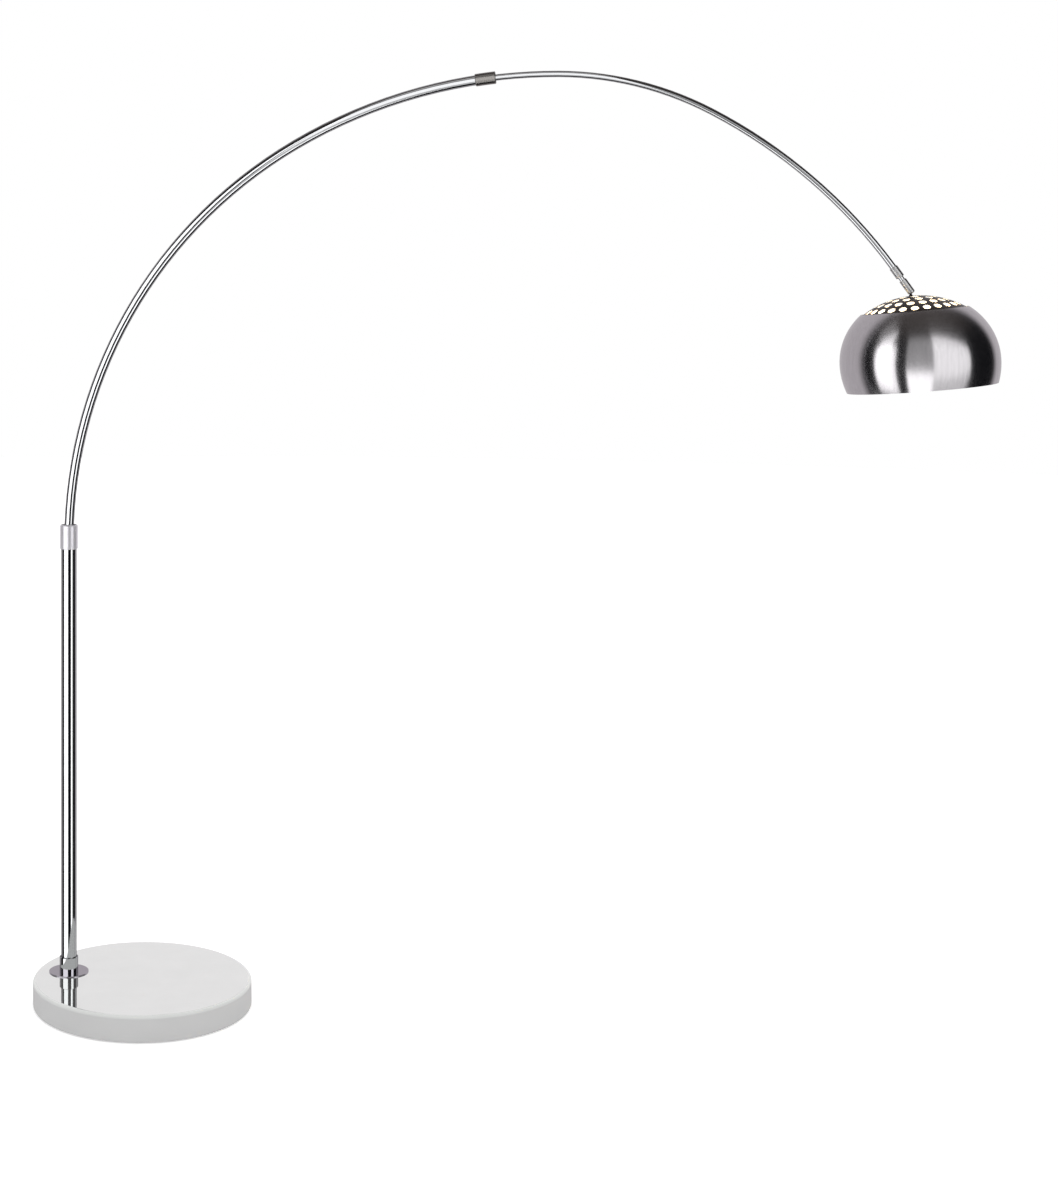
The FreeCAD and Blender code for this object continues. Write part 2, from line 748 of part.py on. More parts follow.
def bulb_screw_cap():
    """The bulb's screw cap, with its rounded thread."""
    outline = [(0, SCREW_CAP_TOP), (4, SCREW_CAP_TOP), (10, SCREW_CAP_TOP + 4)]
    depth = SCREW_CAP_TOP + 5
    while depth < HOLDER_END - 4:
        outline.append((SCREW_CAP_R, depth))
        outline.append((SCREW_CAP_R - 0.9, depth + 1.8))
        depth += 3.6
    outline += [(SCREW_CAP_R, HOLDER_END), (11.5, HOLDER_END), (11.5, SCREW_CAP_TOP + 6), (0, SCREW_CAP_TOP + 6)]
    return holder_solid(outline)


def bulb_globe():
    """Opal glass globe with a short neck in the screw cap."""
    neck = 11.4
    top = GLOBE_DEPTH - math.sqrt(GLOBE_R ** 2 - neck ** 2)
    inner = GLOBE_R - GLOBE_T
    inner_top = GLOBE_DEPTH - math.sqrt(inner ** 2 - (neck - GLOBE_T) ** 2)
    start = SCREW_CAP_TOP + 8
    return turned([(neck, -start), (neck, -top),
                   (0, -GLOBE_DEPTH - GLOBE_R, GLOBE_R, -GLOBE_DEPTH),
                   (0, -GLOBE_DEPTH - inner),
                   (neck - GLOBE_T, -inner_top, inner, -GLOBE_DEPTH),
                   (neck - GLOBE_T, -start)], crown(), CAP_LEAN)


SUBPARTS = [base_disc, base_pad, base_cover, pole_stud, base_washer, base_nut, terminal_block, cord_gland,
            pole_wire, pole_flange, pole_socket, pole_foot_plug, pole_tube, pole_collar, pole_guide_bush,
            pole_collar_screw, mast_guide, tail_snap_rings, lower_arc_tube, lower_arc_wire, arc_collar,
            arc_guide_bush, arc_collar_screw, upper_arc_tube, upper_arc_wire, arc_tail_guide,
            arm_end_ferrule, neck_spigot, spigot_nut, swivel_barrel, tilt_pin, head_stem, stem_nut,
            vent_cap, dome_shade, dome_rest_ring, cap_washer, cap_nut, lampholder_cap, lampholder_shell,
            lampholder_core, lampholder_contact, bulb_screw_cap, bulb_globe]


def main():
    """Export one file per sub-part and print each one's volume and box."""
    os.makedirs("parts", exist_ok=True)
    for make in SUBPARTS:
        shape = make()
        box = shape.BoundBox
        name = make.__name__
        if not shape.isValid() or not shape.Solids:
            print("BAD", name)
        print("%-20s solids %d volume %.0f x %.1f..%.1f y %.1f..%.1f z %.1f..%.1f"
              % (name, len(shape.Solids), shape.Volume, box.XMin, box.XMax, box.YMin, box.YMax,
                 box.ZMin, box.ZMax))
        shape.exportStep("parts/%s.step" % name)
    slide = slide_station(0.0).centre(SLIDE_BEND[0])
    tilt = tilt_point()
    ball = sphere_centre()
    end = arm_end()
    print("slide centre (%.2f, %.2f)" % (slide.x, slide.z))
    print("arm end (%.2f, %.2f) heading %.2f" % (end.x, end.z, end.heading))
    print("tilt pivot (%.2f, %.2f)" % (tilt.x, tilt.z))
    print("cap sphere centre (%.2f, %.2f)" % (ball.x, ball.z))
    print("outlet rim", outlet_rim())


main()
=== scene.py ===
"""Looks of an arc floor lamp: chromed tubes, a spun steel dome over a perforated cap, a polished base.

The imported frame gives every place. Lengths are metres, and sizes of patterns are in millimetres.
"""
import json
import logging
import math
from dataclasses import dataclass
from enum import Enum

import bpy
import numpy as np
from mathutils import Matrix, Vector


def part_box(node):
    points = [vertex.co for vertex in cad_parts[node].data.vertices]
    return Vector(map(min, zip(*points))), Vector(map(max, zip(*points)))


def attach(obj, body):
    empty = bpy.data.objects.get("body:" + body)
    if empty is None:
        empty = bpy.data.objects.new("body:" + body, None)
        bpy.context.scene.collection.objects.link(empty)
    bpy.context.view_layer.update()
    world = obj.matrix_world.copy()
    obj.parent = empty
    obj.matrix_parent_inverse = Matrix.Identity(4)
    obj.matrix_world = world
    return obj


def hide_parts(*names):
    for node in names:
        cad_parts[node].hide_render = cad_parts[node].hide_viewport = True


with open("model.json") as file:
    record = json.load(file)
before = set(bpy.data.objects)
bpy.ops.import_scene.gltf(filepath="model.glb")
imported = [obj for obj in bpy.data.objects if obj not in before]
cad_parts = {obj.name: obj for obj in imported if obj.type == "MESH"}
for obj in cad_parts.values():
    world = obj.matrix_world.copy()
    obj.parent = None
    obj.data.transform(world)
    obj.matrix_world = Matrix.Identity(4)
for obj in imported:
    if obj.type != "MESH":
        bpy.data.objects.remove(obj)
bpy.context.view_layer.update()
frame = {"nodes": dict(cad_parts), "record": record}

MM = 0.001
LOG = logging.getLogger("arc_lamp")


class Side(Enum):
    """Which wall of a thin shell a finish is for."""

    OUTSIDE = 0
    INSIDE = 1


class Reach(Enum):
    """How a light's own collection treats the base: it lights only the base, or all but the base."""

    BASE_ONLY = "INCLUDE"
    ALL_BUT_BASE = "EXCLUDE"


def linear(hex_colour: str) -> tuple[float, float, float, float]:
    """Turn an sRGB hex colour into linear light.

    Args:
        hex_colour: Colour as "#RRGGBB".

    Returns:
        Red, green, blue and an alpha of one.
    """
    parts = [int(hex_colour[i:i + 2], 16) / 255 for i in (1, 3, 5)]
    light = [c / 12.92 if c <= 0.04045 else ((c + 0.055) / 1.055) ** 2.4 for c in parts]
    return (light[0], light[1], light[2], 1.0)


def add_node(tree: bpy.types.NodeTree, kind: str, links: dict | None = None,
             **settings: object) -> bpy.types.Node:
    """Add a node, give it its settings and link its inputs.

    Args:
        tree: Tree that gets the node.
        kind: Node type, such as "ShaderNodeMath".
        links: Input name or number to a socket, which is linked, or to a value, which is set.
        settings: Properties of the node itself.

    Returns:
        The new node.
    """
    node = tree.nodes.new(kind)
    for name, value in settings.items():
        setattr(node, name, value)
    for key, value in (links or {}).items():
        if isinstance(value, bpy.types.NodeSocket):
            tree.links.new(value, node.inputs[key])
        else:
            node.inputs[key].default_value = value
    return node


def new_material(name: str) -> tuple[bpy.types.Material, bpy.types.NodeTree, bpy.types.Node]:
    """Make a material with an empty tree and one shader on its output.

    Args:
        name: The material's name.

    Returns:
        The material, its tree and its shader.
    """
    material = bpy.data.materials.new(name)
    material.use_nodes = True
    tree = material.node_tree
    tree.nodes.clear()
    shader = add_node(tree, "ShaderNodeBsdfPrincipled")
    add_node(tree, "ShaderNodeOutputMaterial", {"Surface": shader.outputs[0]})
    return material, tree, shader


def object_point(tree: bpy.types.NodeTree) -> bpy.types.NodeSocket:
    """Socket with the piece's own coordinates, in metres."""
    return add_node(tree, "ShaderNodeTexCoord").outputs["Object"]


def set_shader(shader: bpy.types.Node, values: dict) -> None:
    """Set constants on a shader's own sockets."""
    for name, value in values.items():
        shader.inputs[name].default_value = value


def shaped_noise(tree: bpy.types.NodeTree, size_mm: tuple[float, float, float], low: float,
                 high: float, detail: float = 2.0) -> bpy.types.NodeSocket:
    """Noise with its own size along each axis, spread between two values.

    Args:
        tree: Tree that gets the nodes.
        size_mm: Size of the pattern along X, Y and Z, in millimetres.
        low: Value where the noise is lowest.
        high: Value where the noise is highest.
        detail: Number of finer layers.

    Returns:
        Socket with the value.
    """
    stretch = add_node(tree, "ShaderNodeMapping", {
        "Vector": object_point(tree), "Scale": [1 / (s * MM) for s in size_mm]})
    noise = add_node(tree, "ShaderNodeTexNoise", {
        "Vector": stretch.outputs[0], "Scale": 1.0, "Detail": detail, "Roughness": 0.55})
    spread = add_node(tree, "ShaderNodeMapRange", {
        "Value": noise.outputs[0], "From Min": 0.3, "From Max": 0.7, "To Min": low, "To Max": high})
    return spread.outputs[0]


@dataclass(frozen=True)
class ChromePlate:
    """Steel tube, buffed and chrome plated: a mirror with faint buffing haze and the odd smear."""

    name: str
    colour: str = "#DCDDDF"
    edge: str = "#2C2C30"
    roughness: float = 0.05
    haze: float = 0.05
    smear_mm: float = 45.0

    def build(self) -> bpy.types.Material:
        """Mirror whose roughness drifts with smears and which darkens where it is seen edge on."""
        material, tree, shader = new_material(self.name)
        set_shader(shader, {"Base Color": linear(self.colour), "Metallic": 1.0,
                            "Specular Tint": linear(self.edge)})
        smear = shaped_noise(tree, (self.smear_mm,) * 3, self.roughness, self.roughness + self.haze, 4.0)
        tree.links.new(smear, shader.inputs["Roughness"])
        return material


@dataclass(frozen=True)
class TurnedSteel:
    """Metal turned on a lathe and left satin: fine rings across the axis, drawn wider than the real
    0.1 mm feed so that they show, soften a reflection along the axis."""

    name: str
    colour: str
    axis: tuple[float, float, float]
    roughness: float = 0.24
    metallic: float = 1.0
    ring_mm: float = 0.5

    def build(self) -> bpy.types.Material:
        """Rings from a wave along the axis, broken up by a finer noise."""
        material, tree, shader = new_material(self.name)
        set_shader(shader, {"Base Color": linear(self.colour), "Metallic": self.metallic,
                            "Anisotropic": 0.6})
        along = add_node(tree, "ShaderNodeVectorMath", {0: object_point(tree), 1: self.axis},
                         operation="DOT_PRODUCT")
        noise = add_node(tree, "ShaderNodeTexNoise", {
            "W": along.outputs["Value"], "Scale": 1 / (self.ring_mm * MM), "Detail": 3.0},
            noise_dimensions="1D")
        rough = add_node(tree, "ShaderNodeMapRange", {
            "Value": noise.outputs[0], "From Min": 0.3, "From Max": 0.7,
            "To Min": self.roughness - 0.05, "To Max": self.roughness + 0.08})
        tree.links.new(rough.outputs[0], shader.inputs["Roughness"])
        bump = add_node(tree, "ShaderNodeBump", {
            "Height": noise.outputs[0], "Strength": 0.03, "Distance": 0.05 * MM})
        tree.links.new(bump.outputs[0], shader.inputs["Normal"])
        grain = add_node(tree, "ShaderNodeVectorTransform", {"Vector": self.axis},
                         vector_type="VECTOR", convert_from="OBJECT", convert_to="WORLD")
        tree.links.new(grain.outputs[0], shader.inputs["Tangent"])
        return material


@dataclass(frozen=True)
class SpunSteel:
    """Stainless sheet spun over a former and polished on the lathe. The polishing rings run round the
    axis, so a reflection stays sharp sideways and is drawn out up and down."""

    name: str
    axis: tuple[float, float, float]
    centre: tuple[float, float, float]
    colour: str = "#CBC8CB"
    roughness: float = 0.21
    anisotropy: float = 0.85
    ring_mm: float = 1.1
    streaks_per_m: tuple[float, float, float] = (252.0, 252.0, 10.8)

    def build(self) -> bpy.types.Material:
        """Rings are a noise of the height along the axis; wide streaks vary the tone round it."""
        material, tree, shader = new_material(self.name)
        set_shader(shader, {"Metallic": 1.0, "Anisotropic": self.anisotropy})
        local = add_node(tree, "ShaderNodeVectorMath", {0: object_point(tree), 1: self.centre},
                         operation="SUBTRACT")
        height = add_node(tree, "ShaderNodeVectorMath", {0: local.outputs[0], 1: self.axis},
                          operation="DOT_PRODUCT")
        rings = add_node(tree, "ShaderNodeTexNoise", {
            "W": height.outputs["Value"], "Scale": 1 / (self.ring_mm * MM), "Detail": 3.0},
            noise_dimensions="1D")
        rough = add_node(tree, "ShaderNodeMapRange", {
            "Value": rings.outputs[0], "From Min": 0.3, "From Max": 0.7,
            "To Min": self.roughness - 0.02, "To Max": self.roughness + 0.03})
        tree.links.new(rough.outputs[0], shader.inputs["Roughness"])
        flat = add_node(tree, "ShaderNodeVectorMath", {0: local.outputs[0], 1: self.streaks_per_m},
                        operation="MULTIPLY")
        streaks = add_node(tree, "ShaderNodeTexNoise", {
            "Vector": flat.outputs[0], "Scale": 1.0, "Detail": 3.0})
        tone = add_node(tree, "ShaderNodeMapRange", {
            "Value": streaks.outputs[0], "From Min": 0.3, "From Max": 0.7, "To Min": 0.94, "To Max": 1.04})
        colour = add_node(tree, "ShaderNodeVectorMath", {
            0: linear(self.colour)[:3], 3: tone.outputs[0]}, operation="SCALE")
        tree.links.new(colour.outputs[0], shader.inputs["Base Color"])
        bump = add_node(tree, "ShaderNodeBump", {
            "Height": rings.outputs[0], "Strength": 0.05, "Distance": 0.04 * MM})
        tree.links.new(bump.outputs[0], shader.inputs["Normal"])
        grain = add_node(tree, "ShaderNodeVectorTransform", {"Vector": self.axis},
                         vector_type="VECTOR", convert_from="OBJECT", convert_to="WORLD")
        tree.links.new(grain.outputs[0], shader.inputs["Tangent"])
        return material


@dataclass(frozen=True)
class PolishedStone:
    """White stone: the top is lapped and lacquered to a mirror, the turned side keeps a soft gloss. The side
    is coloured a darker grey than the top as painted shade.
    """

    name: str
    top_z: float
    top: str = "#DCDEDC"
    # Painted shade: the side is set darker than the top to stand for the shade on it.
    side: str = "#BCBCBC"
    cloud_mm: float = 60.0
    mirror: float = 0.9
    lapped_mm: tuple[float, float] = (0.6, 0.1)
    edge_mm: tuple[float, float] = (7.0, 0.5)

    def build(self) -> bpy.types.Material:
        """Faint clouding in the white. The mirror's share fades out between two depths below the top,
        and the colour and gloss change over to the side's between two more; the side's darker colour is
        painted shade."""
        material, tree, shader = new_material(self.name)
        set_shader(shader, {"IOR": 1.5})
        height = add_node(tree, "ShaderNodeSeparateXYZ", {0: object_point(tree)}).outputs["Z"]
        lapped = add_node(tree, "ShaderNodeMapRange", {
            "Value": height, "From Min": self.top_z - self.lapped_mm[0] * MM,
            "From Max": self.top_z - self.lapped_mm[1] * MM})
        near = add_node(tree, "ShaderNodeMapRange", {
            "Value": height, "From Min": self.top_z - self.edge_mm[0] * MM,
            "From Max": self.top_z - self.edge_mm[1] * MM})
        share = add_node(tree, "ShaderNodeMath", {0: lapped.outputs[0], 1: self.mirror}, operation="MULTIPLY")
        tree.links.new(share.outputs[0], shader.inputs["Metallic"])
        rough = add_node(tree, "ShaderNodeMapRange", {
            "Value": near.outputs[0], "To Min": 0.45, "To Max": 0.012})
        tree.links.new(rough.outputs[0], shader.inputs["Roughness"])
        # Painted shade: below the top edge the colour changes over to the darker side grey.
        stone_colour_with_painted_side_shade = add_node(tree, "ShaderNodeMix", {
            0: near.outputs[0], 6: linear(self.side), 7: linear(self.top)}, data_type="RGBA")
        cloud = shaped_noise(tree, (self.cloud_mm,) * 3, 0.98, 1.015, 5.0)
        colour = add_node(tree, "ShaderNodeVectorMath", {0: stone_colour_with_painted_side_shade.outputs[2], 3: cloud}, operation="SCALE")
        tree.links.new(colour.outputs[0], shader.inputs["Base Color"])
        return material


@dataclass(frozen=True)
class EnamelledCap:
    """Pressed steel cap, blackened bronze outside and stoved white inside, where the bulb's light
    bounces about; the inside carries a painted glow that stands for that bounced light."""

    name: str
    centre: tuple[float, float, float]
    radius: float
    wall: float
    outside: str = "#3A3330"
    inside: str = "#FFF6E4"
    # Strength of the painted glow on the inside: emission standing for bounced light, not a lamp.
    glow: float = 0.75

    def build(self) -> bpy.types.Material:
        """The side is told by the distance from the sphere's centre, halfway through the sheet."""
        material, tree, shader = new_material(self.name)
        local = add_node(tree, "ShaderNodeVectorMath", {0: object_point(tree), 1: self.centre},
                         operation="DISTANCE")
        middle = self.radius - 0.45 * self.wall
        outer = add_node(tree, "ShaderNodeMapRange", {
            "Value": local.outputs["Value"], "From Min": middle - 0.05 * MM, "From Max": middle + 0.05 * MM})
        grain = shaped_noise(tree, (2.0, 2.0, 2.0), 0.85, 1.25, 3.0)
        dark = add_node(tree, "ShaderNodeVectorMath", {0: linear(self.outside)[:3], 3: grain},
                        operation="SCALE")
        colour = add_node(tree, "ShaderNodeMix", {
            0: outer.outputs[0], 6: linear(self.inside), 7: dark.outputs[0]}, data_type="RGBA")
        tree.links.new(colour.outputs[2], shader.inputs["Base Color"])
        # Painted glow: the white inside emits light of its own colour to stand for the bulb's bounced light.
        set_shader(shader, {"Emission Color": linear(self.inside)})
        lit = add_node(tree, "ShaderNodeMapRange", {
            "Value": outer.outputs[0], "To Min": self.glow, "To Max": 0.0})
        tree.links.new(lit.outputs[0], shader.inputs["Emission Strength"])
        metal = add_node(tree, "ShaderNodeMath", {0: outer.outputs[0], 1: 0.85}, operation="MULTIPLY")
        tree.links.new(metal.outputs[0], shader.inputs["Metallic"])
        tree.links.new(shaped_noise(tree, (6.0, 6.0, 6.0), 0.28, 0.42), shader.inputs["Roughness"])
        return material


@dataclass(frozen=True)
class Enamel:
    """White stoved enamel: smooth, faintly uneven from the spray."""

    name: str
    colour: str = "#F4EFE4"
    peel_mm: float = 3.0

    def build(self) -> bpy.types.Material:
        """Soft gloss with a shallow orange peel."""
        material, tree, shader = new_material(self.name)
        set_shader(shader, {"Base Color": linear(self.colour), "Roughness": 0.35, "IOR": 1.5})
        peel = shaped_noise(tree, (self.peel_mm,) * 3, 0.0, 1.0)
        bump = add_node(tree, "ShaderNodeBump", {"Height": peel, "Strength": 0.1, "Distance": 0.05 * MM})
        tree.links.new(bump.outputs[0], shader.inputs["Normal"])
        return material


@dataclass(frozen=True)
class OpalGlow:
    """Opal glass with the lamp lit behind it: warm, its glow faintly uneven."""

    name: str
    colour: str = "#FFE3B8"
    strength: float = 14.0

    def build(self) -> bpy.types.Material:
        """A white glass skin that glows evenly."""
        material, tree, shader = new_material(self.name)
        set_shader(shader, {"Base Color": linear("#F7F2EA"), "Roughness": 0.22, "IOR": 1.5,
                            "Emission Color": linear(self.colour)})
        glow = shaped_noise(tree, (20.0, 20.0, 20.0), 0.94 * self.strength, 1.06 * self.strength)
        tree.links.new(glow, shader.inputs["Emission Strength"])
        return material


@dataclass(frozen=True)
class SmallPart:
    """Plain finish of a small part: its colour and roughness drift a little at a given size, and it may carry
    a painted glow.
    """

    name: str
    colour: str
    metallic: float
    roughness: float
    grain_mm: float
    bump: float = 0.1
    drift: float = 0.12
    # Painted glow: emission on a part that is no lamp, standing for light that falls on it.
    glow: float = 0.0

    def build(self) -> bpy.types.Material:
        """Noise of the grain's size varies tone, gloss and height."""
        material, tree, shader = new_material(self.name)
        # Any emission set here is painted glow, not a lamp.
        set_shader(shader, {"Metallic": self.metallic, "Emission Color": linear(self.colour),
                            "Emission Strength": self.glow})
        grain = shaped_noise(tree, (self.grain_mm,) * 3, 1 - self.drift, 1 + self.drift, 3.0)
        colour = add_node(tree, "ShaderNodeVectorMath", {0: linear(self.colour)[:3], 3: grain},
                          operation="SCALE")
        tree.links.new(colour.outputs[0], shader.inputs["Base Color"])
        rough = add_node(tree, "ShaderNodeMath", {0: grain, 1: self.roughness}, operation="MULTIPLY")
        tree.links.new(rough.outputs[0], shader.inputs["Roughness"])
        height = add_node(tree, "ShaderNodeBump", {
            "Height": grain, "Strength": self.bump, "Distance": 0.1 * MM})
        tree.links.new(height.outputs[0], shader.inputs["Normal"])
        return material


def new_piece(name: str, points: np.ndarray, faces: np.ndarray, materials: list[bpy.types.Material],
              slots: np.ndarray | None = None, sharp: float = 35.0) -> bpy.types.Object:
    """Put a mesh that is already worked out into the scene.

    Args:
        name: The piece's name.
        points: Corners, one row each.
        faces: One row of corner numbers per face, three or four to a row.
        materials: The piece's materials, in slot order.
        slots: Slot of each face, all zero if left out.
        sharp: Edges that turn by more degrees than this stay crisp.

    Returns:
        The new object.
    """
    mesh = bpy.data.meshes.new(name)
    mesh.from_pydata(points.tolist(), [], faces.tolist())
    for material in materials:
        mesh.materials.append(material)
    if slots is not None:
        mesh.polygons.foreach_set("material_index", slots.astype(np.int32))
    mesh.shade_smooth()
    mesh.set_sharp_from_angle(angle=math.radians(sharp))
    mesh.update()
    piece = bpy.data.objects.new(name, mesh)
    bpy.context.collection.objects.link(piece)
    return piece


def ring_faces(rings: int, around: int) -> np.ndarray:
    """Quads of a closed tube of rings, where the last ring joins the first.

    Args:
        rings: Number of rings along the closed outline.
        around: Points in each ring.

    Returns:
        One row of four corner numbers per quad.
    """
    i, j = np.meshgrid(np.arange(rings), np.arange(around), indexing="ij")
    here = i * around + j
    beside = i * around + (j + 1) % around
    after = ((i + 1) % rings) * around + j
    across = ((i + 1) % rings) * around + (j + 1) % around
    return np.stack([here, beside, across, after], axis=-1).reshape(-1, 4)


def lean_basis(degrees: float) -> tuple[np.ndarray, np.ndarray]:
    """Axis that leans towards -X by an angle, and the direction square to it in the arc's plane."""
    turn = math.radians(degrees)
    return (np.array([-math.sin(turn), 0.0, math.cos(turn)]),
            np.array([math.cos(turn), 0.0, math.sin(turn)]))


@dataclass
class Dome:
    """Spun dome: the sheet's outline is turned about an axis through the centre of the cap's sphere.

    The outside is two arcs that meet upright at the equator: the upper one ends at the opening, the
    lower one at the rim. Both edges are closed by a half-round bead of the sheet's own thickness.
    """

    centre: tuple[float, float, float]
    lean: float = 5.3
    wall: float = 1.0 * MM
    equator_r: float = 144.8 * MM
    equator_z: float = 36.3 * MM
    upper_curve: float = 126.0 * MM
    lower_curve: float = 150.0 * MM
    mouth_r: float = 97.5 * MM
    skirt: float = 49.5 * MM
    around: int = 288

    def arc(self, curve: float, inset: float, from_z: float, to_z: float, steps: int) -> np.ndarray:
        """Points on an arc through the equator.

        With curve c and inset w, the radius at height z is (R - c) + sqrt((c - w)^2 - (z - zE)^2),
        and the points are evenly spaced in angle.

        Args:
            curve: The arc's radius on the outside.
            inset: How far inside it the points lie.
            from_z: First height.
            to_z: Last height.
            steps: Number of points.

        Returns:
            Rows of radius and height.
        """
        size = curve - inset
        low = math.asin((from_z - self.equator_z) / size)
        high = math.asin((to_z - self.equator_z) / size)
        turn = np.linspace(low, high, steps)
        return np.stack([self.equator_r - curve + size * np.cos(turn),
                         self.equator_z + size * np.sin(turn)], axis=1)

    def bead(self, start: np.ndarray, end: np.ndarray, steps: int = 6) -> np.ndarray:
        """Half circle from one wall to the other, bulging to the left of the way from start to end."""
        middle = (start + end) / 2
        spoke = start - middle
        side = np.array([-spoke[1], spoke[0]])
        turn = np.linspace(0, math.pi, steps + 2)[1:-1, None]
        return middle + spoke * np.cos(turn) + side * np.sin(turn)

    def outline(self) -> tuple[np.ndarray, int]:
        """Closed outline of the sheet and how many of its points lie outside."""
        reach = self.mouth_r - self.equator_r + self.upper_curve
        mouth_z = self.equator_z + math.sqrt(self.upper_curve ** 2 - reach ** 2)
        rim_z = self.equator_z - self.skirt
        upper = self.arc(self.upper_curve, 0.0, mouth_z, self.equator_z, 40)
        lower = self.arc(self.lower_curve, 0.0, self.equator_z, rim_z, 26)[1:]
        inner_low = self.arc(self.lower_curve, self.wall, rim_z, self.equator_z, 20)
        inner_high = self.arc(self.upper_curve, self.wall, self.equator_z, mouth_z - 0.6 * MM, 32)[1:]
        foot = self.bead(lower[-1], inner_low[0])
        lip = self.bead(inner_high[-1], upper[0])
        outside = len(upper) + len(lower) + len(foot)
        return np.concatenate([upper, lower, foot, inner_low, inner_high, lip]), outside

    def build(self, finishes: dict[Side, bpy.types.Material]) -> bpy.types.Object:
        """Turn the outline about the leaning axis.

        Args:
            finishes: The material of each side.

        Returns:
            The dome.
        """
        outline, outside = self.outline()
        up, out = lean_basis(self.lean)
        side = np.array([0.0, 1.0, 0.0])
        turn = np.linspace(0, 2 * math.pi, self.around, endpoint=False)
        spoke = np.cos(turn)[:, None] * out + np.sin(turn)[:, None] * side
        points = (np.array(self.centre) + outline[:, 0][:, None, None] * spoke[None]
                  + outline[:, 1][:, None, None] * up)
        faces = ring_faces(len(outline), self.around)[:, ::-1]
        slots = np.repeat(np.arange(len(outline)) >= outside, self.around).astype(int)
        return new_piece("dome_shell", points.reshape(-1, 3), faces,
                         [finishes[Side.OUTSIDE], finishes[Side.INSIDE]], slots)


@dataclass(frozen=True)
class Card:
    """Soft upright rectangular light that stands on a line over the floor.

    The line runs from start to end in plan, and the card's face looks to the left of that way. Low and
    high are the heights of its foot and its top, and radiance is the brightness of its face.
    """

    name: str
    start: tuple[float, float]
    end: tuple[float, float]
    low: float
    high: float
    radiance: float
    reach: Reach = Reach.ALL_BUT_BASE

    def build(self) -> None:
        """Put the card up, seen by mirrors only."""
        left, right = np.array(self.start), np.array(self.end)
        width = float(np.linalg.norm(right - left))
        tall = self.high - self.low
        lamp = bpy.data.lights.new(self.name, "AREA")
        lamp.shape = "RECTANGLE"
        lamp.size = width
        lamp.size_y = tall
        lamp.energy = self.radiance * math.pi * width * tall
        holder = bpy.data.objects.new(self.name, lamp)
        middle = (left + right) / 2
        holder.location = (middle[0], middle[1], (self.low + self.high) / 2)
        run = (right - left) / width
        holder.rotation_euler = (math.radians(90), 0, math.atan2(run[1], run[0]))
        holder.visible_diffuse = False
        holder.visible_camera = False
        reached = bpy.data.collections.new(f"{self.name}_reach")
        reached.objects.link(frame["nodes"]["base_disc"])
        reached.collection_objects[0].light_linking.link_state = self.reach.value
        holder.light_linking.receiver_collection = reached
        bpy.context.collection.objects.link(holder)
        LOG.info("lit %s", self.name)


# The dome and the upright tubes mirror the left, middle and right cards. The level tubes mirror the
# three small ones beside the arc. The base mirrors an even surround of its own.
CARDS = (
    Card("soft_left", (-1.84, -0.965), (-0.087, -1.83), -1.2, 2.6, 1.7),
    Card("soft_middle_low", (1.014, -1.081), (1.74, -1.09), -1.2, 1.1, 2.0),
    Card("soft_middle_high", (1.014, -1.081), (1.74, -1.09), 1.1, 2.3, 0.4),
    Card("soft_right_low", (1.74, -1.09), (4.196, -1.134), -1.2, 0.86, 0.8),
    Card("soft_right_high", (1.74, -1.09), (4.196, -1.134), 0.86, 2.4, 1.35),
    Card("arc_front", (0.25, -0.5), (1.0, -0.5), 1.6, 2.2, 1.3),
    Card("arc_under", (0.25, -0.5), (1.0, -0.5), 0.9, 1.6, 0.6),
    Card("arc_top", (0.25, -0.25), (1.0, -0.25), 2.1, 2.8, 0.4),
    Card("base_back", (10.0, 6.0), (-10.0, 6.0), -1.0, 12.0, 0.42, Reach.BASE_ONLY),
    Card("base_left", (-9.0, 1.5), (-9.0, -6.0), -1.0, 12.0, 0.6, Reach.BASE_ONLY),
    Card("base_front", (-9.0, -6.0), (9.0, -6.0), -1.0, 12.0, 0.6, Reach.BASE_ONLY),
    Card("base_right", (9.0, -6.0), (9.0, 4.5), -1.0, 12.0, 0.6, Reach.BASE_ONLY),
)


